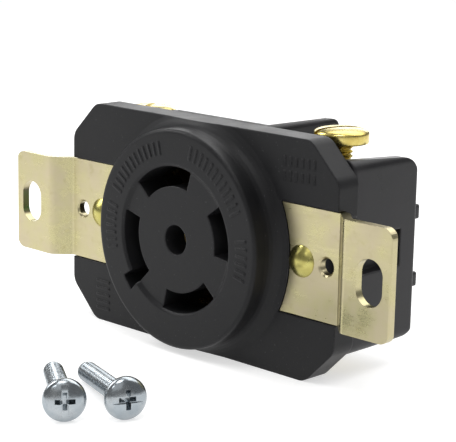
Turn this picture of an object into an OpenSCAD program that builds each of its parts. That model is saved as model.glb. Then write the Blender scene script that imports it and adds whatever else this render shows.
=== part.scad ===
// Five-wire locking power receptacle for flush mounting in a wall or machine box.
// X runs along the mounting brackets, -Y faces the user, +Z is up.
// The origin is on the boss axis, in the front plane of the brackets' inner flats.

/* [Face] */
// Length of the flange
flange_len = 65.2; // [64:0.2:67]
// Height of the flange
flange_h = 41; // [41:0.2:44]
// Thickness of the flange
flange_t = 4.9; // [4.7:0.1:5]
// Size of the flange's cut corners
corner_cut = 6.3; // [5:0.1:8]
// Diameter of the round boss
boss_d = 38.8; // [37.6:0.1:39.4]
// Height of the boss above the flange
boss_h = 5.3; // [4.5:0.1:7]
// Radius of the flare at the foot of the boss
flare_r = 2.8; // [2:0.1:3]
// Diameter of the sunk disc that holds the blade slots
disc_d = 26.8; // [26.4:0.1:28]
// Depth of the sunk disc
disc_depth = 0.5; // [0.3:0.1:0.8]
// Radius of the slots' inner edge
slot_in_r = 9.4; // [9.2:0.1:9.7]
// Radius of the slots' outer edge
slot_out_r = 12.95; // [12.6:0.05:13.1]
// Diameter of the centre hole for the ground pin
ground_hole_d = 5.3; // [5.1:0.1:5.6]

/* [Brackets] */
// Length over both ears
ear_span = 92; // [91:0.2:96]
// Width of the brackets
strap_w = 18.8; // [17:0.2:19]
// Thickness of the bracket steel
strap_t = 1.5; // [1.2:0.1:1.6]
// How far the ears stand forward of the inner flats
ear_step = 3; // [2:0.1:3.2]
// Spacing of the box screws
box_pitch = 83.34; // [83.34]
// Width of the box screw slots
box_slot_w = 5.4; // [4.2:0.1:5.6]
// Length of the box screw slots
box_slot_l = 7.9; // [6:0.1:9]
// Spacing of the wall plate screws
plate_pitch = 60.33; // [60.33]
// Diameter of the tapped wall plate holes
plate_hole_d = 2.84; // [2.7:0.02:2.95]
// Diameter of the rivet heads
rivet_head_d = 5.5; // [5:0.1:6]

/* [Rear body] */
// Length of the rear body
body_len = 62.4; // [62:0.2:63]
// Top of the rear body's ends above the boss axis, at the front
body_top = 17.05; // [17:0.05:17.4]
// Bottom of the rear body's ends below the boss axis, at the front
body_bottom = 16.35; // [16.2:0.05:16.6]
// Width of the tall middle block
block_w = 24.6; // [24:0.2:25]
// Height of the middle block's top above the boss axis, at the front
block_top = 20.4; // [20:0.05:20.45]
// Depth of the rear body's ends
body_depth = 17.15; // [17:0.05:18]
// Depth of the middle block
block_depth = 18.1; // [17.6:0.05:19]
// Gap between the flange and the rear body
seam = 0.5; // [0.3:0.05:0.6]

/* [Terminals] */
// Distance of the line terminal screws from the middle
terminal_x = 23.4; // [23.2:0.1:23.6]
// Distance of the terminal screws behind the brackets' flats
terminal_y = 10.85; // [10.7:0.05:11]
// Diameter of the line terminal screw heads
terminal_head_d = 9.4; // [8:0.1:9.6]
// Diameter of the terminal screw threads
terminal_thread_d = 4; // [3.8:0.1:4.1]
// How far the upper right terminal stands open
right_open = 4.7; // [0:0.05:4.7]
// How far the upper left terminal stands open
left_open = 3.05; // [0:0.05:4.7]
// Travel of the ground clamp
ground_travel = 2.2; // [1:0.1:2.3]
// Diameter of the wire entry holes
wire_hole_d = 4.4; // [4:0.1:4.4]

/* [Loose mounting screws] */
// Diameter of the mounting screw heads
screw_head_d = 6.9; // [6.4:0.1:7.2]
// Diameter of the mounting screw threads
screw_thread_d = 3.4; // [3.3:0.05:3.5]
// Length of the mounting screws under the head
screw_len = 20.3; // [16:0.1:24]

/* [Hidden] */
$fn = 72;
eps = 0.05;
gap = 0.1;
pitch = 0.794;

flange_front = -0.2;
flange_back = flange_front + flange_t;
boss_r = boss_d / 2;
boss_front = flange_front - boss_h;
disc_front = boss_front + disc_depth;
half_w = strap_w / 2;
ear_tip = ear_span / 2;
body_front = flange_back + seam;
body_back = body_front + body_depth;
block_back = body_front + block_depth;
floor_z = -flange_h / 2;

// Each blade slot: start angle, end angle, and the corner that its terminal sits in
SLOTS = [[74, 137, [-1, 1]], [-7, 36, [1, 1]], [-103, -42, [1, -1]], [164.5, 225.5, [-1, -1]]];
// Lower edge of each contact's tab, above or below the middle
TAB_Z = [7.6, 5.6, 7.6, 7.6];
tab_h = 2.8;
hook_start = 214;
hook_r = 15.3;

contact_t = 0.7;
contact_in_r = slot_in_r - 0.3;
contact_out_r = slot_out_r + 0.55;
contact_front = 3.2;
web_y = 13.9;
web_t = 0.8;
carrier_r = 15.3;
cavity_r = carrier_r + 0.2;
cavity_back = 16.7;

plate_t = 1;
plate_in_x = 18.8;
plate_out_x = 28;
plate_top = 13.4;
plate_y0 = 6.8;
plate_y1 = 14.4;
riser_y0 = 7.2;
leg_t = 0.7;
chamber_in_x = plate_in_x + plate_t;
chamber_out_x = 27.7;
chamber_floor = 5.6;
chamber_y0 = 7;
chamber_y1 = 14.9;
pocket_out_x = 28.9;
pocket_step_y = 15.5;
pocket_floor = 11.3;
wire_x = 23.9;
wire_z = 8.55;

head_t = 2.7;
clamp_t = 1;
clamp_in = 7.6;
seated = plate_top + 0.45;
tip_r = 1.2;
tip_head_r = 1.7;
tip_head_t = 0.4;

ground_pad_x = 28.3;
ground_y = 10.7;
ground_half = 4.8;
ground_link_y = 15.5;
ground_rest = ground_pad_x + plate_t + ground_travel + 0.1;
ground_clamp_x = 26.3;
ground_wire_x = 23.2;

rivet_x = 24.8;
rivet_shank_r = 1.5;
anchor_x = 7.5;
anchor_z = 16.9;
anchor_r = 1.15;

// ---- helpers ----

function unit(v) = v / norm(v);

// Points of one corner at v between its neighbours p and q, rounded to radius r
function corner(p, v, q, r, n) =
    r == 0 ? [v] :
    let (a = unit(p - v))
    let (b = unit(q - v))
    let (half = acos(a * b) / 2)
    let (c = v + unit(a + b) * r / sin(half))
    let (s = v + a * r / tan(half) - c)
    let (e = v + b * r / tan(half) - c)
    let (start = atan2(s.y, s.x))
    let (sweep = (atan2(e.y, e.x) - start + 540) % 360 - 180)
    [for (i = [0 : n]) c + r * [cos(start + sweep * i / n), sin(start + sweep * i / n)]];

// An outline whose corners are rounded to the radii given
function rounded(pts, radii, n = 8) =
    let (m = len(pts))
    [for (i = [0 : m - 1]) each corner(pts[(i + m - 1) % m], pts[i], pts[(i + 1) % m], radii[i], n)];

function rectangle(a, b) = [[-a, -b], [a, -b], [a, b], [-a, b]];

// Extrudes an X-Z outline from y0 towards the back
module slab(y0, t) {
    translate([0, y0 + t, 0]) rotate([90, 0, 0]) linear_extrude(t) children();
}

// Extrudes a Y-Z outline to both sides of the middle
module cross_slab(half) {
    translate([-half, 0, 0]) rotate([90, 0, 90]) linear_extrude(2 * half) children();
}

// Turns a profile of [radius, height towards the front] about the boss axis
module turned() {
    rotate([90, 0, 0]) rotate_extrude() children();
}

// A round rod or hole along Y at [x, z]
module rod_y(x, z, r, y0, y1) {
    translate([x, y1, z]) rotate([90, 0, 0]) cylinder(h = y1 - y0, r = r);
}

// A ring sector about the boss axis
module sector(r0, r1, a0, a1, y0, y1) {
    translate([0, y1, 0]) rotate([90, 0, 0]) rotate([0, 0, a0])
        rotate_extrude(angle = a1 - a0) translate([r0, 0]) square([r1 - r0, y1 - y0]);
}

// A box from its low corner to its high corner
module span(low, high) {
    translate(low) cube(high - low);
}

// The same shape in each of the four terminal corners
module each_corner() {
    for (s = SLOTS) scale_signs(s[2]) children();
}

// Mirrors a shape of the upper right corner into the corner with these signs
module scale_signs(s) {
    mirror([s.x < 0 ? 1 : 0, 0, 0]) mirror([0, 0, s.y < 0 ? 1 : 0]) children();
}

// A threaded shank down from z = 0
module threaded(r, depth, length) {
    turns = floor(length / pitch);
    grooves = [for (i = [0 : turns - 1])
        each [[r, -(i + 0.2) * pitch], [r - depth, -(i + 0.6) * pitch], [r, -(i + 0.95) * pitch]]];
    rotate_extrude() polygon(concat([[0, 0], [r, 0]], grooves,
        [[r, -turns * pitch], [r - depth, -length], [0, -length]]));
}

// ---- face ----

function flange_points(l, h, c) =
    [[l, h - c], [l - c, h], [c - l, h], [-l, h - c], [-l, c - h], [c - l, -h], [l - c, -h], [l, c - h]];

module flange_outline() {
    polygon(rounded(flange_points(flange_len / 2, flange_h / 2, corner_cut), [3, 3, 3, 3, 3, 3, 3, 3]));
}

module boss_profile() {
    foot = -flange_front;
    top = -boss_front;
    edge = 0.6;
    flare = [for (a = [260 : -16 : 180])
        [boss_r + flare_r + flare_r * cos(a), foot + flare_r + flare_r * sin(a)]];
    rim = [for (a = [0 : 30 : 90]) [boss_r - edge + edge * cos(a), top - edge + edge * sin(a)]];
    polygon(concat([[0, 0], [boss_r + flare_r, 0]], flare, rim, [[0, top]]));
}

// Room for the brackets on the flange: a shallow channel and an open end behind the ears
module bracket_channel() {
    notch_x = 28.2;
    notch_w = 7.8;
    mouth_r = 0.6;
    channel_w = half_w + 0.15;
    slab(flange_front - eps, strap_t + gap - flange_front + eps) difference() {
        translate([boss_r, -channel_w]) square([flange_len / 2, 2 * channel_w]);
        circle(boss_r + flare_r - eps);
    }
    slab(flange_front - 1, flange_t + 2) {
        translate([notch_x, -notch_w]) square([10, 2 * notch_w]);
        for (s = [-1, 1]) difference() {
            translate([flange_len / 2 - mouth_r, s > 0 ? notch_w - eps : -notch_w - mouth_r])
                square([mouth_r + 1, mouth_r + eps]);
            translate([flange_len / 2 - mouth_r, s * (notch_w + mouth_r)]) circle(mouth_r);
        }
    }
}

// Short raised bars in place of lettering: ring segments of [first angle, last angle]
module raised_marks() {
    mark_h = 0.14;
    for (group = [[104, 156], [26, 80], [-14, 10], [166, 196]])
        for (a = [group[0] : 4.6 : group[1]])
            rotate([0, -a, 0]) span([15, boss_front - mark_h, -0.22], [17.4, boss_front + eps, 0.22]);
    for (x = [20.5 : 1.3 : 27]) for (z = [13.2, 15.6])
        span([x, flange_front - mark_h, z], [x + 0.45, flange_front + eps, z + 1.6]);
    for (z = [-18.4 : 1.3 : -13])
        span([-26, flange_front - mark_h, z], [-22.5, flange_front + eps, z + 0.45]);
}

module face_cover() color("#38383a") {
    difference() {
        union() {
            slab(flange_front, flange_t) flange_outline();
            intersection() {
                turned() boss_profile();
                slab(boss_front - 1, boss_h + 3) flange_outline();
            }
        }
        // sunk disc with a sloping edge
        turned() polygon([[0, -disc_front], [disc_d / 2 - 0.8, -disc_front],
            [disc_d / 2, -boss_front], [disc_d / 2, 1 - boss_front], [0, 1 - boss_front]]);
        for (s = SLOTS) {
            sector(slot_in_r, slot_out_r, s[0], s[1], boss_front - 1, 1);
            sector(contact_in_r - 0.15, contact_out_r + 0.15, s[0] + 0.5, s[1] - 0.5, 0.3, flange_back + 1);
        }
        sector(slot_out_r - 1, hook_r, hook_start, SLOTS[3][1] - 0.25, boss_front - 1, 1);
        rod_y(0, 0, ground_hole_d / 2, boss_front - 1, flange_back + 1);
        rod_y(0, 0, 3.45, -0.3, flange_back + 1);
        for (m = [0, 1]) mirror([m, 0, 0]) {
            bracket_channel();
            rod_y(rivet_x, 0, rivet_shank_r + 0.05, flange_front, flange_back + 1);
        }
        for (x = [-anchor_x, anchor_x]) for (z = [-anchor_z, anchor_z])
            rod_y(x, z, anchor_r + 0.05, -0.9, flange_back + 1);
    }
    raised_marks();
}

// ---- brackets ----

// Side view of a bracket: inner flat, step forward, ear
function bracket_side() =
    let (run = 3)
    let (bend_x = 33)
    let (shift = strap_t * tan(atan2(ear_step, run) / 2))
    rounded([[boss_r, 0], [bend_x, 0], [bend_x + run, -ear_step], [ear_tip, -ear_step],
        [ear_tip, strap_t - ear_step], [bend_x + run + shift, strap_t - ear_step],
        [bend_x + shift, strap_t], [boss_r, strap_t]],
        [0, 0.7, 1.9, 0.25, 0.25, 0.7, 1.9, 0], 6);

module bracket() color("#cfc9a2") {
    tip_r = 1.9;
    mouth_r = 1.75;
    difference() {
        intersection() {
            translate([0, 0, -half_w]) linear_extrude(strap_w) polygon(bracket_side());
            slab(-10, 20) polygon(rounded([[0, -half_w], [ear_tip, -half_w], [ear_tip, half_w],
                [0, half_w]], [0, tip_r, tip_r, 0]));
        }
        rod_y(0, 0, boss_r + flare_r + gap, -1, strap_t + 1);
        rod_y(rivet_x, 0, rivet_shank_r + 0.05, -1, strap_t + 1);
        rod_y(plate_pitch / 2, 0, plate_hole_d / 2, -1, strap_t + 1);
        translate([plate_pitch / 2, 0.33, 0]) rotate([90, 0, 0])
            cylinder(h = 0.34, r1 = plate_hole_d / 2, r2 = mouth_r);
        slab(-ear_step - 1, strap_t + 2) translate([box_pitch / 2, 0]) box_slot();
    }
}

module box_slot() {
    reach = (box_slot_l - box_slot_w) / 2;
    for (s = [-1, 1]) translate([0, s * reach]) circle(box_slot_w / 2);
    translate([-box_slot_w / 2, -reach]) square([box_slot_w, 2 * reach]);
}

module rivet() color("#c9b85c") {
    head_h = 1.3;
    head_r = rivet_head_d / 2;
    ball_r = (head_r * head_r + head_h * head_h) / (2 * head_h);
    tail_r = 2.3;
    intersection() {
        translate([rivet_x, ball_r - head_h, 0]) sphere(ball_r);
        rod_y(rivet_x, 0, head_r + 1, -head_h - 1, 0);
    }
    rod_y(rivet_x, 0, rivet_shank_r, -eps, flange_back + eps);
    rod_y(rivet_x, 0, tail_r, flange_back, flange_back + 0.9);
}

// ---- rear body ----

// Side view between two heights, drawn in towards the back by taper = [below, above]
function body_side(low, high, back, taper, radii) =
    rounded([[body_front, low], [back, low + taper[0]], [back, high - taper[1]],
        [body_front, high]], [0, radii[0], radii[1], 0]);

module body_shell() {
    half = body_len / 2;
    plan = rounded([[-half, body_front], [half, body_front], [half, body_back], [-half, body_back]],
        [0.8, 0.8, 0.6, 0.6]);
    front = rounded([[-half, -body_bottom], [half, -body_bottom], [half, body_top], [-half, body_top]],
        [2, 2, 2, 2]);
    intersection() {
        cross_slab(half + 1) polygon(body_side(-body_bottom, body_top, body_back, [0.9, 1.15], [2.5, 4]));
        slab(body_front, body_depth) polygon(front);
        translate([0, 0, -flange_h]) linear_extrude(2 * flange_h) polygon(plan);
    }
    intersection() {
        cross_slab(block_w / 2) polygon(body_side(floor_z, block_top, block_back, [0, 0.3], [1.2, 1.6]));
        slab(body_front, block_depth)
            polygon(rounded(rectangle(block_w / 2, flange_h / 2), [1.2, 1.2, 1.2, 1.2]));
    }
    back_nubs();
}

// Four small stops on the back face
module back_nubs() {
    for (x = [-29.4, 29.4]) for (z = [-6, 6])
        slab(body_back - 1, 2.5) translate([x, z]) polygon(rounded(rectangle(1.1, 1.3), [0.4, 0.4, 0.4, 0.4]));
}

// Hollow for one line terminal in the upper right corner, between the middle block and the end wall
module terminal_hollow() {
    span([block_w / 2, body_front - 1, plate_top], [pocket_out_x, block_back + 1, flange_h]);
    span([block_w / 2, pocket_step_y, pocket_floor], [pocket_out_x, block_back + 1, flange_h]);
    span([plate_in_x - 0.2, chamber_y0, 5.4], [chamber_in_x + gap, chamber_y1, plate_top + 1]);
    span([chamber_in_x, chamber_y0, chamber_floor], [chamber_out_x, chamber_y1, plate_top + 1]);
    span([plate_in_x - 0.2, plate_y0 - 0.2, plate_top - plate_t - eps],
        [plate_out_x + 0.2, plate_y1 + 0.2, plate_top + 1]);
    span([11, web_y - 0.1, 5.4], [plate_in_x, chamber_y1, 10.8]);
    rod_y(wire_x, wire_z, wire_hole_d / 2, chamber_y1 - 1, body_back + 1);
}

module ground_hollow() {
    side = ground_half + 0.15;
    span([-body_len, 6.2, -side], [-plate_in_x + 0.1, 15.2, side]);
    span([-plate_in_x - 1.4, 15, -2.7], [0, cavity_back, 2.7]);
    rod_y(-ground_wire_x, 0, 2, 15, body_back + 1);
}

module rear_body() color("#3c3c3f") {
    difference() {
        body_shell();
        rod_y(0, 0, cavity_r, body_front - 1, cavity_back);
        each_corner() terminal_hollow();
        ground_hollow();
        // side pocket behind the right ear
        span([28.9, 6.2, -2.5], [body_len, 18, 4]);
        for (x = [-rivet_x, rivet_x]) rod_y(x, 0, 2.9, body_front - 1, body_front + 1.1);
        for (x = [-anchor_x, anchor_x]) for (z = [-anchor_z, anchor_z]) {
            rod_y(x, z, anchor_r + 0.2, body_front - 1, block_back + 1);
            rod_y(x, z, 2.75, block_back - 2.2, block_back + 1);
        }
    }
}

// Four screws that hold the rear body to the face
module assembly_screws() color("#b9bcc2") {
    head_r = 2.5;
    seat = block_back - 2.2;
    for (x = [-anchor_x, anchor_x]) for (z = [-anchor_z, anchor_z]) difference() {
        union() {
            rod_y(x, z, anchor_r, -0.6, seat + eps);
            translate([x, seat, z]) rotate([-90, 0, 0])
                rotate_extrude() polygon([[0, 0], [head_r, 0], [head_r, 0.9], [1.9, 1.5], [0, 1.7]]);
        }
        for (t = [[0.32, 1.5], [1.5, 0.32]])
            span([x - t[0], seat + 0.8, z - t[1]], [x + t[0], seat + 3, z + t[1]]);
    }
}

module rating_label() color("#f4f4f2") {
    label_t = 0.12;
    inset = 1.1;
    slope = atan(0.3 / block_depth);
    translate([0, body_front, block_top + 0.01]) rotate([-slope, 0, 0])
        span([inset - block_w / 2, 0.8, 0], [block_w / 2 - inset, block_depth - 2.4, label_t]);
}

// ---- inner parts ----

module contact_carrier() color("#5b4638") {
    difference() {
        rod_y(0, 0, carrier_r, flange_back + 0.2, web_y - 0.1);
        for (s = SLOTS)
            sector(contact_in_r - 0.15, contact_out_r + 0.15, s[0] + 0.5, s[1] - 0.5, 0, web_y + 1);
        rod_y(0, 0, 3.45, 0, web_y + 1);
    }
}

module rear_insulator() color("#b98f5e") {
    difference() {
        rod_y(0, 0, carrier_r, web_y + web_t + 0.1, ground_link_y - 0.1);
        rod_y(0, 0, 3.5, web_y, ground_link_y);
    }
}

// Two curved spring leaves on a web, with a tab to the terminal plate
module line_contact(k) color("#d8b56a") {
    a0 = SLOTS[k][0] + 1.5;
    a1 = SLOTS[k][1] - 1.5;
    sector(contact_in_r, contact_in_r + contact_t, a0, a1, contact_front, web_y + eps);
    sector(contact_out_r - contact_t, contact_out_r, a0, a1, contact_front, web_y + eps);
    sector(contact_in_r, contact_out_r, a0, a1, web_y, web_y + web_t);
    scale_signs(SLOTS[k][2])
        span([k == 1 ? 9.5 : 8, web_y, TAB_Z[k]], [plate_in_x, web_y + web_t, TAB_Z[k] + tab_h]);
}

module ground_contact() color("#d8b56a") {
    sleeve_out = 3.3;
    difference() {
        rod_y(0, 0, sleeve_out, -0.2, ground_link_y);
        rod_y(0, 0, ground_hole_d / 2, -1, ground_link_y + 1);
        span([-0.3, -1, -5], [0.3, 9, 5]);
    }
}

module terminal_plate(k) color("#caa24e") {
    scale_signs(SLOTS[k][2]) difference() {
        union() {
            span([plate_in_x, plate_y0, plate_top - plate_t], [plate_out_x, plate_y1, plate_top]);
            span([plate_in_x, riser_y0, chamber_floor], [chamber_in_x, web_y + web_t, plate_top - eps]);
            span([plate_in_x, riser_y0, chamber_floor], [plate_out_x - 0.5, plate_y1, chamber_floor + leg_t]);
        }
        translate([terminal_x, terminal_y, 9]) cylinder(h = 10, r = terminal_thread_d / 2 + 0.05);
        translate([terminal_x, terminal_y, 4]) cylinder(h = 4, r = 2.2);
    }
}

module ground_plate() color("#caa24e") {
    roof = ground_half - plate_t;
    difference() {
        union() {
            rod_y(0, 0, 5, ground_link_y, ground_link_y + plate_t);
            span([-plate_in_x - plate_t, ground_link_y, -2.5], [0, ground_link_y + plate_t, 2.5]);
            span([-plate_in_x - plate_t, riser_y0, -2.5], [-plate_in_x, ground_link_y + plate_t, 2.5]);
            span([-plate_in_x - plate_t, riser_y0, -2.5], [-plate_in_x, 14.6, ground_half]);
            span([-ground_pad_x - plate_t, riser_y0, roof], [-plate_in_x, 14.6, ground_half]);
            span([-ground_pad_x - plate_t, riser_y0, -ground_half], [-ground_pad_x, 14.6, ground_half]);
        }
        translate([-40, ground_y, 0]) rotate([0, 90, 0]) cylinder(h = 15, r = terminal_thread_d / 2 + 0.05);
    }
}

// ---- terminals, drawn with the screw axis on Z ----

// How far each line terminal stands open
function open_by(k) = [left_open, right_open, 0, 0][k];

// Screw with its head's underside at z = 0 and a captive tip that ends in a small head
module clamp_screw(head_r, head_h, shank_len) {
    f = head_h / head_t;
    difference() {
        union() {
            rotate_extrude() polygon([[0, -eps], [head_r - 0.3, -eps], [head_r, 0.3 * f], [head_r, 1.6 * f],
                [head_r - 0.2, 1.85 * f], [head_r - 0.7, 2.1 * f], [head_r * 0.6, 2.42 * f],
                [head_r * 0.3, 2.62 * f], [0, head_h]]);
            threaded(terminal_thread_d / 2, 0.42, shank_len);
            translate([0, 0, -shank_len - clamp_t - 0.1]) cylinder(h = clamp_t + 0.2, r = tip_r);
            translate([0, 0, -shank_len - clamp_t - 0.1 - tip_head_t]) cylinder(h = tip_head_t, r = tip_head_r);
        }
        rotate([0, 0, 62]) span([-head_r, -0.55, head_h - 1.3 * f], [head_r, 0.55, head_h + 1]);
    }
}

// Clamp plate with its top at z = 0
module clamp_pad(half_x, half_y) {
    difference() {
        translate([0, 0, -clamp_t]) linear_extrude(clamp_t)
            polygon(rounded(rectangle(half_x, half_y), [0.6, 0.6, 0.6, 0.6]));
        translate([0, 0, -5]) cylinder(h = 10, r = tip_r + 0.06);
    }
}

module terminal_screw(k) color("#e0bf62") {
    scale_signs(SLOTS[k][2]) translate([terminal_x, terminal_y, seated + open_by(k)])
        clamp_screw(terminal_head_d / 2, head_t, seated - clamp_in - 0.05);
}

module clamp(k) color("#a9adb3") {
    scale_signs(SLOTS[k][2]) translate([terminal_x, terminal_y, clamp_in + open_by(k)]) clamp_pad(3.3, 3.4);
}

module ground_screw() color("#3f8f4a") {
    translate([-ground_rest, ground_y, 0]) rotate([0, -90, 0])
        clamp_screw(4.1, 2, ground_rest - ground_clamp_x - 0.05);
}

module ground_clamp() color("#a9adb3") {
    translate([-ground_clamp_x, ground_y, 0]) rotate([0, -90, 0]) clamp_pad(3.5, 3.5);
}

// ---- loose screws that fix the receptacle to its box ----

// Pan head with a cross recess and a shallow slot, turned by slot_turn
module mounting_screw(x, y, heading, slot_turn) color("#b4bac4") {
    head_r = screw_head_d / 2;
    lean = asin((head_r - screw_thread_d / 2) / screw_len);
    translate([x, y, floor_z + head_r * cos(lean)]) rotate([0, 0, heading]) rotate([0, lean - 90, 0])
        rotate([0, 0, slot_turn]) difference() {
            union() {
                rotate_extrude() polygon([[0, -eps], [head_r - 0.15, -eps], [head_r, 0.2], [head_r, 0.5],
                    [head_r - 0.15, 0.85], [head_r - 0.5, 1.2], [head_r - 1, 1.5], [head_r - 1.7, 1.78],
                    [head_r - 2.5, 1.93], [0, 2]]);
                threaded(screw_thread_d / 2, 0.4, screw_len);
            }
            for (a = [0, 90]) rotate([0, 0, a]) span([-1.95, -0.42, 0.7], [1.95, 0.42, 3]);
            span([-head_r, -0.57, 1.55], [head_r, 0.57, 3]);
        }
}

face_cover();
mirror([1, 0, 0]) bracket();  // bracket_left
bracket();  // bracket_right
mirror([1, 0, 0]) rivet();  // rivet_left
rivet();  // rivet_right
rear_body();
contact_carrier();
rear_insulator();
assembly_screws();
rating_label();
line_contact(0);  // contact_top
line_contact(1);  // contact_right
line_contact(2);  // contact_bottom
line_contact(3);  // contact_left
ground_contact();
terminal_plate(0);  // terminal_plate_tl
terminal_plate(1);  // terminal_plate_tr
terminal_plate(2);  // terminal_plate_br
terminal_plate(3);  // terminal_plate_bl
ground_plate();
clamp(0);  // clamp_tl
clamp(1);  // clamp_tr
clamp(2);  // clamp_br
clamp(3);  // clamp_bl
ground_clamp();
terminal_screw(0);  // terminal_screw_tl
terminal_screw(1);  // terminal_screw_tr
terminal_screw(2);  // terminal_screw_br
terminal_screw(3);  // terminal_screw_bl
ground_screw();
mounting_screw(13.95, -42.05, 144.9, 0);  // mounting_screw_a
mounting_screw(19.6, -34.6, 156.1, 90);  // mounting_screw_b
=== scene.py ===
"""Looks, light and camera for a five-wire locking power receptacle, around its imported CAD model."""

import math

import bpy
from mathutils import Matrix, Vector


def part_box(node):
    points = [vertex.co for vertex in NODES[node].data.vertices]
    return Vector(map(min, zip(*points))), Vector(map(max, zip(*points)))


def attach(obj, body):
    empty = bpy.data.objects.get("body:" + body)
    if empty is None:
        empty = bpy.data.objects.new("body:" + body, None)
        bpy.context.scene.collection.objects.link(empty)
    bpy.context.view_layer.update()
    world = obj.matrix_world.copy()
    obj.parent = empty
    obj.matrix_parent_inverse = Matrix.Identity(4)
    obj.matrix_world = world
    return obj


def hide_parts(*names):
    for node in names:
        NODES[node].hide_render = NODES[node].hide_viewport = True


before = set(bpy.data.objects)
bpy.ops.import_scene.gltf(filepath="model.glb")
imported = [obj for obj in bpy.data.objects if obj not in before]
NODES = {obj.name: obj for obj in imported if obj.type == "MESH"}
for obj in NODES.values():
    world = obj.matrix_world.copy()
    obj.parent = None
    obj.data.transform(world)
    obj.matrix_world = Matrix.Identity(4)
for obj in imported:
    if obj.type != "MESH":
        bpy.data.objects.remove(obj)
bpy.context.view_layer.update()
MM = 0.001

# ---- camera ----

CAMERA_TARGET = (7.93, -0.2, 4.01)
CAMERA_DISTANCE = 280.73
CAMERA_AZIMUTH = 43.96
CAMERA_ELEVATION = 12.44
CAMERA_ROLL = 1.14
CAMERA_LENS = 128.95
SENSOR_WIDTH = 36


def place_camera():
    azimuth = math.radians(CAMERA_AZIMUTH)
    elevation = math.radians(CAMERA_ELEVATION)
    roll = math.radians(CAMERA_ROLL)
    back = Vector((
        math.sin(azimuth) * math.cos(elevation),
        -math.cos(azimuth) * math.cos(elevation),
        math.sin(elevation),
    ))
    level = Vector((math.cos(azimuth), math.sin(azimuth), 0))
    upright = back.cross(level)
    right = math.cos(roll) * level + math.sin(roll) * upright
    up = math.cos(roll) * upright - math.sin(roll) * level
    place = (Vector(CAMERA_TARGET) + back * CAMERA_DISTANCE) * MM
    data = bpy.data.cameras.new("camera")
    data.lens = CAMERA_LENS
    data.sensor_width = SENSOR_WIDTH
    data.sensor_fit = "HORIZONTAL"
    data.clip_start = 0.01
    camera = bpy.data.objects.new("camera", data)
    bpy.context.scene.collection.objects.link(camera)
    rows = Matrix((right, up, back))
    camera.matrix_world = Matrix.Translation(place) @ rows.transposed().to_4x4()
    bpy.context.scene.camera = camera


place_camera()

# ---- floor, world and lights ----

FLOOR_REACH = 3.0
FLOOR_GLOW = 0.6
WORLD_GLOW = 0.24


def plane(name, centre, reach):
    mesh = bpy.data.meshes.new(name)
    corners = [(-reach, -reach, 0), (reach, -reach, 0), (reach, reach, 0), (-reach, reach, 0)]
    mesh.from_pydata(corners, [], [(0, 1, 2, 3)])
    obj = bpy.data.objects.new(name, mesh)
    obj.location = centre
    bpy.context.scene.collection.objects.link(obj)
    return obj


class Shader:
    """A new material's node tree, with short calls for the nodes that the materials share."""

    def __init__(self, name):
        self.material = bpy.data.materials.new(name)
        self.material.use_nodes = True
        self.tree = self.material.node_tree
        self.bsdf = self.tree.nodes["Principled BSDF"]
        coordinates = self.tree.nodes.new("ShaderNodeTexCoord")
        self.place = coordinates.outputs["Object"]

    def node(self, kind, inputs=None, **settings):
        made = self.tree.nodes.new("ShaderNode" + kind)
        for key, value in settings.items():
            setattr(made, key, value)
        for key, value in (inputs or {}).items():
            self.feed(made.inputs[key], value)
        return made

    def feed(self, socket, value):
        if isinstance(value, bpy.types.NodeSocket):
            self.tree.links.new(value, socket)
        else:
            socket.default_value = value

    def set(self, **values):
        for key, value in values.items():
            self.feed(self.bsdf.inputs[key.replace("_", " ")], value)

    def stretched(self, scale):
        """The place on the object, with each axis scaled."""
        return self.node("Mapping", {"Vector": self.place, "Scale": scale}).outputs["Vector"]

    def noise(self, size, detail=3.0, roughness=0.55, stretch=(1, 1, 1)):
        """Noise whose features are about size millimetres across."""
        inputs = {"Scale": 1.0, "Detail": detail, "Roughness": roughness}
        scale = tuple(s / (size * MM) for s in stretch)
        inputs["Vector"] = self.stretched(scale)
        return self.node("TexNoise", inputs).outputs["Fac"]

    def spread(self, value, low, high, to_low=0.0, to_high=1.0):
        inputs = {"Value": value, "From Min": low, "From Max": high, "To Min": to_low, "To Max": to_high}
        return self.node("MapRange", inputs).outputs["Result"]

    def math(self, operation, first, second):
        return self.node("Math", {0: first, 1: second}, operation=operation).outputs[0]

    def mix(self, factor, first, second):
        made = self.node("Mix", {"Factor": factor}, data_type="RGBA")
        self.feed(made.inputs[6], first)
        self.feed(made.inputs[7], second)
        return made.outputs[2]

    def bevel(self, radius):
        return self.node("Bevel", {"Radius": radius * MM}, samples=6).outputs["Normal"]

    def bump(self, height, depth, normal=None):
        """Bump of depth millimetres."""
        inputs = {"Height": height, "Distance": depth * MM, "Strength": 1.0}
        if normal is not None:
            inputs["Normal"] = normal
        return self.node("Bump", inputs).outputs["Normal"]

    def edges(self, rounded, low, high):
        """1 along sharp edges and 0 elsewhere, from how far the rounded normal leans from the true one."""
        flat = self.node("NewGeometry").outputs["Normal"]
        dot = self.node("VectorMath", {0: rounded, 1: flat}, operation="DOT_PRODUCT").outputs["Value"]
        return self.spread(dot, high, low, 0.0, 1.0)


def rgb(red, green, blue):
    return (red, green, blue, 1.0)


def make_floor():
    shader = Shader("floor_paper")
    tint = shader.mix(shader.noise(120), rgb(0.60, 0.60, 0.60), rgb(0.62, 0.62, 0.62))
    shader.set(Base_Color=tint, Roughness=0.9, Specular_IOR_Level=0.1)
    shader.set(Emission_Color=rgb(1, 1, 1), Emission_Strength=FLOOR_GLOW)
    floor = plane("floor", (0, 0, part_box("face_cover")[0].z), FLOOR_REACH)
    floor.data.materials.append(shader.material)


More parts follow.
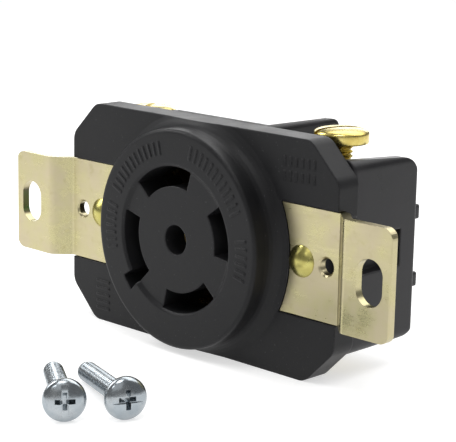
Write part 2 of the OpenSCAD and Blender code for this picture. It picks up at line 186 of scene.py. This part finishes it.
def softbox(name, place, size, radiance):
    """An area light of size metres at place, aimed at the origin; radiance sets how bright its face is."""
    data = bpy.data.lights.new(name, "AREA")
    data.shape = "RECTANGLE"
    data.size, data.size_y = size
    data.energy = radiance * math.pi * size[0] * size[1]
    light = bpy.data.objects.new(name, data)
    light.location = place
    light.rotation_euler = (-Vector(place)).to_track_quat("-Z", "Y").to_euler()
    bpy.context.scene.collection.objects.link(light)


def make_world(strength):
    world = bpy.data.worlds.new("studio")
    world.use_nodes = True
    background = world.node_tree.nodes["Background"]
    background.inputs["Color"].default_value = rgb(1, 1, 1)
    background.inputs["Strength"].default_value = strength
    bpy.context.scene.world = world


make_floor()
make_world(WORLD_GLOW)
softbox("key", (-0.15, -0.09, 0.10), (0.09, 0.09), 4.0)
softbox("rim", (-0.36, -0.10, 0.38), (0.16, 0.16), 9.0)
softbox("top", (0.0, 0.42, 0.62), (1.0, 0.6), 2.6)
softbox("window", (0.10, -0.42, 0.36), (0.08, 0.08), 7.0)
softbox("front", (0.42, -0.42, 0.42), (0.5, 0.4), 0.5)
softbox("back", (-0.42, 0.45, 0.16), (0.5, 0.14), 3.2)
softbox("over", (0.12, -0.16, 0.5), (0.22, 0.22), 5.0)
bpy.context.scene.view_settings.view_transform = "Standard"

# ---- materials ----


def moulded(name, dark, light, roughness, radius=0.22, shine=0.2):
    """Moulded plastic: fine texture, cloudy gloss, a painted highlight along the sharp edges and a few
    pale specks.
    """
    shader = Shader(name)
    rounded = shader.bevel(radius)
    clouds = shader.noise(7, detail=4)
    grain = shader.noise(0.16, detail=2)
    # painted highlight: sharp edges, broken up by noise, to be lightened towards pale grey
    edge_highlight = shader.math("MULTIPLY", shader.edges(rounded, 0.80, 0.985), shader.noise(0.5, detail=4))
    specks = shader.spread(shader.noise(0.35, detail=1), 0.73, 0.78)
    tint = shader.mix(shader.spread(clouds, 0.3, 0.7), rgb(*dark), rgb(*light))
    # paint the edge highlight: edges mixed up to a third of the way to pale grey
    tint = shader.mix(shader.spread(edge_highlight, 0.35, 0.9, 0.0, 0.35), tint, rgb(0.16, 0.16, 0.17))
    tint = shader.mix(shader.math("MULTIPLY", specks, 0.10), tint, rgb(0.3, 0.3, 0.31))
    gloss = shader.spread(clouds, 0.25, 0.75, roughness - 0.06, roughness + 0.08)
    gloss = shader.math("ADD", gloss, shader.spread(grain, 0.3, 0.7, -0.03, 0.03))
    relief = shader.bump(grain, 0.012, rounded)
    relief = shader.bump(clouds, 0.05, relief)
    shader.set(Base_Color=tint, Roughness=gloss, Normal=relief, Specular_IOR_Level=shine)
    return shader.material


def plated(name, colours, roughness, grain_stretch=(1, 1, 1), radius=0.12, blotch=5.0, relief=0.010):
    """Plated or bare metal: tinted clouds, a fine rolled grain, light scratches and bright edges."""
    shader = Shader(name)
    rounded = shader.bevel(radius)
    clouds = shader.noise(blotch, detail=3)
    grain = shader.noise(0.5, detail=5, roughness=0.7, stretch=grain_stretch)
    fine = shader.noise(0.12, detail=2)
    first, second, third = colours
    tint = shader.mix(shader.spread(clouds, 0.35, 0.65), rgb(*first), rgb(*second))
    stain = shader.spread(shader.noise(blotch * 0.45, detail=5), 0.58, 0.74, 0.0, 0.5)
    tint = shader.mix(stain, tint, rgb(*third))
    gloss = shader.spread(clouds, 0.3, 0.7, roughness - 0.05, roughness + 0.07)
    gloss = shader.math("ADD", gloss, shader.spread(grain, 0.3, 0.7, -0.05, 0.05))
    normal = shader.bump(grain, relief, rounded)
    normal = shader.bump(fine, 0.3 * relief, normal)
    shader.set(Base_Color=tint, Roughness=gloss, Normal=normal, Metallic=1.0)
    return shader.material


def glare_label_film(name):
    """Label film in near-white: a painted highlight that stands in for the glare on the glossy top face.
    """
    shader = Shader(name)
    clouds = shader.noise(4, detail=3)
    # near-white tint: painted highlight for the top face's glare
    tint = shader.mix(clouds, rgb(0.90, 0.90, 0.89), rgb(0.93, 0.93, 0.93))
    shader.set(Base_Color=tint, Roughness=shader.spread(clouds, 0.3, 0.7, 0.38, 0.5))
    shader.set(Normal=shader.bump(shader.noise(0.6, detail=2), 0.004))
    return shader.material


def fibre(name, dark, light):
    """Pressed board with short fibres."""
    shader = Shader(name)
    threads = shader.noise(0.4, detail=6, roughness=0.7, stretch=(1, 1, 3))
    tint = shader.mix(shader.spread(threads, 0.3, 0.7), rgb(*dark), rgb(*light))
    shader.set(Base_Color=tint, Roughness=0.8, Normal=shader.bump(threads, 0.03))
    return shader.material


MATERIALS = {
    "black_nylon": moulded("black_nylon", (0.010, 0.010, 0.011), (0.014, 0.014, 0.015), 0.42, 0.45),
    "black_body": moulded("black_body", (0.014, 0.014, 0.015), (0.020, 0.019, 0.021), 0.34, 0.6, 0.24),
    "carrier_thermoset": moulded("carrier_thermoset", (0.035, 0.022, 0.016), (0.05, 0.033, 0.024), 0.5),
    "fibre_board": fibre("fibre_board", (0.30, 0.18, 0.09), (0.46, 0.32, 0.18)),
    # the label's white is a painted highlight for the glare on the body's top face
    "label_stock": glare_label_film("label_stock"),
    "zinc_yellow_steel": plated(
        "zinc_yellow_steel", ((0.47, 0.43, 0.235), (0.50, 0.44, 0.29), (0.39, 0.34, 0.17)), 0.30,
        grain_stretch=(0.06, 1, 1), relief=0.004),
    "rivet_brass": plated(
        "rivet_brass", ((0.50, 0.46, 0.15), (0.44, 0.39, 0.12), (0.20, 0.17, 0.05)), 0.30,
        blotch=1.6, relief=0.004),
    "spring_brass": plated(
        "spring_brass", ((0.78, 0.58, 0.24), (0.72, 0.53, 0.22), (0.5, 0.34, 0.13)), 0.26,
        grain_stretch=(1, 0.08, 1)),
    "plate_brass": plated(
        "plate_brass", ((0.74, 0.54, 0.20), (0.68, 0.50, 0.19), (0.45, 0.31, 0.11)), 0.30,
        grain_stretch=(0.08, 1, 1)),
    "screw_brass": plated(
        "screw_brass", ((0.66, 0.56, 0.20), (0.60, 0.48, 0.14), (0.50, 0.28, 0.05)), 0.24,
        radius=0.05, blotch=1.8, relief=0.002),
    "screw_green": plated(
        "screw_green", ((0.05, 0.30, 0.11), (0.08, 0.38, 0.15), (0.03, 0.16, 0.06)), 0.30,
        radius=0.05, blotch=1.8, relief=0.002),
    "clamp_steel": plated(
        "clamp_steel", ((0.58, 0.58, 0.57), (0.50, 0.50, 0.50), (0.35, 0.34, 0.32)), 0.32,
        grain_stretch=(0.08, 1, 1)),
    "screw_zinc": plated(
        "screw_zinc", ((0.34, 0.38, 0.41), (0.41, 0.44, 0.46), (0.25, 0.28, 0.31)), 0.22,
        radius=0.05, blotch=2.2, relief=0.002),
}

for node in NODES.values():
    used = node.data.materials[0].name.split(".")[0]
    node.data.materials[0] = MATERIALS[used]

# ---- detailed screws in place of the CAD's ringed ones ----

PITCH = 0.794
ROWS_PER_TURN = 12
SIDES = 48
SHARP_DEGREES = 32

LOOSE_HEAD_R = 3.45
LOOSE_HEAD_H = 2.0
LOOSE_THREAD_R = 1.7
LOOSE_LENGTH = 20.3

TERMINAL_X = 23.4
TERMINAL_Y = 10.85
SEATED_Z = 13.85
TERMINAL_HEAD_R = 4.7
TERMINAL_HEAD_H = 2.7
TERMINAL_SHANK = 6.2
TERMINAL_THREAD_R = 2.0
SLOT_TURN = 62
SLOT_HALF_W = 0.55

GROUND_X = -31.6
GROUND_Y = 10.7
GROUND_HEAD_R = 4.1
GROUND_HEAD_H = 2.0
GROUND_SHANK = 5.25

TIP_R = 1.2
TIP_HEAD_R = 1.7
TIP_NECK = 1.1
TIP_LENGTH = 1.5


def groove(phase):
    """How deep the thread is cut at a phase of one turn: 0 on the crest and 1 at the root."""
    phase = phase % 1.0
    if phase < 0.16:
        return 0.0
    if phase < 0.52:
        return (phase - 0.16) / 0.36
    if phase < 0.64:
        return 1.0
    return (1.0 - phase) / 0.36


def thread_rows(radius, depth, start, length):
    """Rows of a helical thread down from start, fading in and out: [height, radius, depth]."""
    count = int(length / PITCH * ROWS_PER_TURN)
    rows = []
    for i in range(count + 1):
        run = length * i / count
        fade = min(1.0, run / (0.8 * PITCH), 0.35 + (length - run) / (0.9 * PITCH))
        lead = min(0.0, (length - run) - 0.7) * 0.45
        rows.append((start - run, radius + lead, depth * max(fade, 0.0)))
    return rows


def dome_rows(radius, low, high, power, steps=14):
    """Rows of a domed top from near its middle down to its rim."""
    rows = []
    for i in range(1, steps + 1):
        reach = math.sin(math.pi / 2 * i / steps)
        rise = (1.0 - reach ** power) ** (1.0 / power) if reach < 1 else 0.0
        rows.append((low + (high - low) * rise, radius * reach, 0.0))
    return rows


def turned_mesh(name, rows, top, bottom):
    """A closed mesh round Z through rows of [height, radius, thread depth]."""
    points = [(0, 0, top)]
    for z, radius, depth in rows:
        for j in range(SIDES):
            angle = 2 * math.pi * j / SIDES
            r = radius - (depth * groove(z / PITCH - j / SIDES) if depth else 0.0)
            points.append((r * math.cos(angle), r * math.sin(angle), z))
    last = len(points)
    points.append((0, 0, bottom))
    faces = []
    for j in range(SIDES):
        after = (j + 1) % SIDES
        faces.append((0, 1 + j, 1 + after))
        for i in range(len(rows) - 1):
            a, b = 1 + i * SIDES, 1 + (i + 1) * SIDES
            faces.append((a + j, b + j, b + after, a + after))
        end = 1 + (len(rows) - 1) * SIDES
        faces.append((end + j, last, end + after))
    mesh = bpy.data.meshes.new(name)
    mesh.from_pydata(points, [], faces)
    mesh.validate()
    return mesh


def wedge(half_length, half_width, low, high, narrowing, turn):
    """A cutter bar across the head that narrows towards its bottom."""
    points = []
    for z, share in ((low, narrowing), (high, 1.0)):
        for x, y in ((-1, -1), (1, -1), (1, 1), (-1, 1)):
            points.append((x * half_length * share, y * half_width * (0.5 + 0.5 * share), z))
    faces = [(3, 2, 1, 0), (4, 5, 6, 7), (0, 1, 5, 4), (1, 2, 6, 5), (2, 3, 7, 6), (3, 0, 4, 7)]
    mesh = bpy.data.meshes.new("cutter")
    mesh.from_pydata(points, [], faces)
    mesh.transform(Matrix.Rotation(math.radians(turn), 4, "Z"))
    return mesh


def cut(mesh, cutters):
    """The mesh with every cutter taken out of it."""
    scene = bpy.context.scene.collection
    body = bpy.data.objects.new("cut_body", mesh)
    scene.objects.link(body)
    tools = []
    for cutter in cutters:
        tool = bpy.data.objects.new("cut_tool", cutter)
        scene.objects.link(tool)
        tools.append(tool)
        modifier = body.modifiers.new("cut", "BOOLEAN")
        modifier.operation = "DIFFERENCE"
        modifier.solver = "EXACT"
        modifier.object = tool
    graph = bpy.context.evaluated_depsgraph_get()
    result = bpy.data.meshes.new_from_object(body.evaluated_get(graph))
    for obj in [body] + tools:
        bpy.data.objects.remove(obj)
    return result


def finish_screw(name, mesh, cutters, place, slot, node, body):
    """The cut screw at its place, riding on its body and standing in for the CAD's node."""
    mesh = cut(mesh, cutters)
    mesh.transform(Matrix.Scale(MM, 4) @ place)
    mesh.shade_smooth()
    mesh.set_sharp_from_angle(angle=math.radians(SHARP_DEGREES))
    mesh.materials.clear()
    mesh.materials.append(MATERIALS[slot])
    piece = bpy.data.objects.new(name, mesh)
    bpy.context.scene.collection.objects.link(piece)
    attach(piece, body)
    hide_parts(node)


def rotated(degrees, axis):
    return Matrix.Rotation(math.radians(degrees), 4, axis)


def loose_screw(letter, x, y, heading, slot_turn):
    """A mounting screw that lies on the floor, propped on its head's rim and its thread."""
    floor_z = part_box("face_cover")[0].z / MM
    lean = math.asin((LOOSE_HEAD_R - LOOSE_THREAD_R) / LOOSE_LENGTH)
    rows = dome_rows(LOOSE_HEAD_R, 0.5, LOOSE_HEAD_H, 2.1)
    rows += [(0.2, LOOSE_HEAD_R, 0), (0.06, LOOSE_HEAD_R - 0.08, 0)]
    rows += [(0, LOOSE_HEAD_R - 0.2, 0), (0, LOOSE_THREAD_R + 0.1, 0)]
    rows += thread_rows(LOOSE_THREAD_R, 0.38, -0.1, LOOSE_LENGTH - 0.1)
    mesh = turned_mesh("loose_screw", rows, LOOSE_HEAD_H, -LOOSE_LENGTH)
    cutters = [
        wedge(1.95, 0.42, 0.35, 2.4, 0.35, 0),
        wedge(1.95, 0.42, 0.35, 2.4, 0.35, 90),
        wedge(3.9, 0.56, 1.52, 2.6, 1.0, 0),
    ]
    place = (
        Matrix.Translation((x, y, floor_z + LOOSE_HEAD_R * math.cos(lean)))
        @ rotated(heading, "Z")
        @ rotated(math.degrees(lean) - 90, "Y")
        @ rotated(slot_turn, "Z")
    )
    finish_screw(
        "loose_screw_" + letter, mesh, cutters, place,
        "screw_zinc", "mounting_screw_" + letter, "root")


def terminal_rows(head_r, head_h, shank):
    """Rows of a binding screw down to its captive tip, and how far down the tip ends."""
    scale = head_h / TERMINAL_HEAD_H
    rows = dome_rows(head_r, 1.6 * scale, head_h, 2.4)
    rows += [(0.3 * scale, head_r, 0), (0.1, head_r - 0.1, 0), (0, head_r - 0.3, 0)]
    rows += [(0, TERMINAL_THREAD_R + 0.1, 0)]
    rows += thread_rows(TERMINAL_THREAD_R, 0.42, -0.1, shank - 0.1)
    rows += [(-shank - 0.02, TIP_R, 0), (-shank - TIP_NECK, TIP_R, 0), (-shank - TIP_NECK, TIP_HEAD_R, 0)]
    rows += [(-shank - TIP_LENGTH + 0.1, TIP_HEAD_R, 0), (-shank - TIP_LENGTH, TIP_HEAD_R - 0.15, 0)]
    return rows, -shank - TIP_LENGTH


def terminal_screw(corner, side, upper, open_by):
    """A line terminal's binding screw, open_by millimetres out from where it seats."""
    rows, bottom = terminal_rows(TERMINAL_HEAD_R, TERMINAL_HEAD_H, TERMINAL_SHANK)
    mesh = turned_mesh("terminal_screw", rows, TERMINAL_HEAD_H, bottom)
    cutters = [wedge(TERMINAL_HEAD_R + 0.5, SLOT_HALF_W, 1.4, 3.4, 1.0, SLOT_TURN * side)]
    flip = rotated(0 if upper else 180, "Y")
    height = SEATED_Z + open_by
    place = Matrix.Translation((side * TERMINAL_X, TERMINAL_Y, height if upper else -height)) @ flip
    finish_screw(
        "binding_screw_" + corner, mesh, cutters, place,
        "screw_brass", "terminal_screw_" + corner, "screw_" + corner)


def ground_screw():
    """The green binding screw on the left end."""
    rows, bottom = terminal_rows(GROUND_HEAD_R, GROUND_HEAD_H, GROUND_SHANK)
    mesh = turned_mesh("ground_screw", rows, GROUND_HEAD_H, bottom)
    cutters = [wedge(GROUND_HEAD_R + 0.5, SLOT_HALF_W, 1.04, 2.8, 1.0, SLOT_TURN)]
    place = Matrix.Translation((GROUND_X, GROUND_Y, 0)) @ rotated(-90, "Y")
    finish_screw(
        "binding_screw_ground", mesh, cutters, place,
        "screw_green", "ground_screw", "screw_ground")


loose_screw("a", 13.95, -42.05, 144.9, 0)
loose_screw("b", 19.6, -34.6, 156.1, 90)
terminal_screw("tl", -1, True, 3.05)
terminal_screw("tr", 1, True, 4.7)
terminal_screw("br", 1, False, 0)
terminal_screw("bl", -1, False, 0)
ground_screw()
